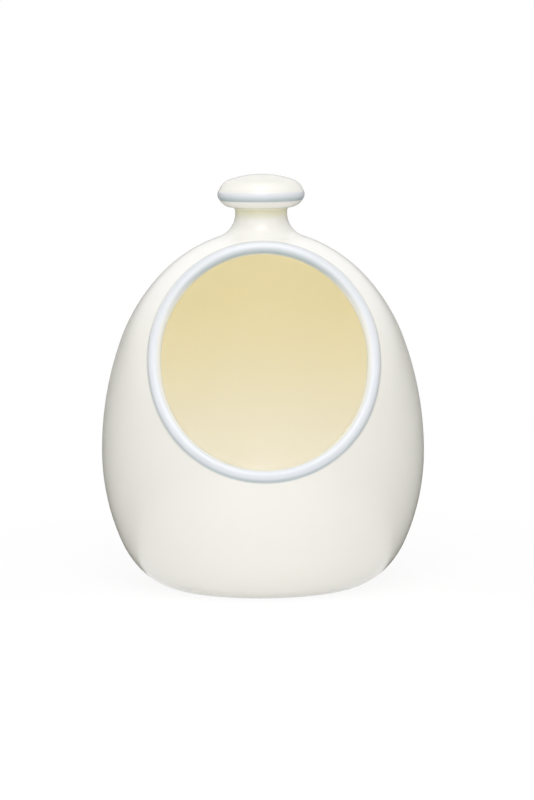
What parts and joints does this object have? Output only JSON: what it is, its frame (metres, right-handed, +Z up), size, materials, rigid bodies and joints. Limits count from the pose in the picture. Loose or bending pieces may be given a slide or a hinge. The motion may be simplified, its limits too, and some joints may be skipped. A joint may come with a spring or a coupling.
{
  "type": "salt pig",
  "caption": "Egg-shaped glazed ceramic salt pig with a tilted oval mouth, a rounded bead round the mouth and a banded mushroom knob on a short flared neck.",
  "frame": {"origin": "centre of the foot's standing face, on the pot's axis", "axes": "+Z up along the pot's axis, the mouth faces -Y, +X to the right of someone who looks into the mouth"},
  "size_m": [0.116, 0.1168, 0.1476],
  "materials": {
    "cream_glaze": "clear glossy cream glaze over white clay",
    "liner_glaze": "glossy yellow-cream glaze",
    "blue_glaze": "glossy pale blue glaze, whiter where it runs thin",
    "bare_clay": "matt unglazed fired clay"
  },
  "bodies": {
    "root": {"pot_shell": "cream_glaze", "liner_glaze": "liner_glaze", "mouth_rim": "blue_glaze", "foot_ring": "bare_clay", "knob": "cream_glaze", "knob_band": "blue_glaze"}
  },
  "joints": []
}
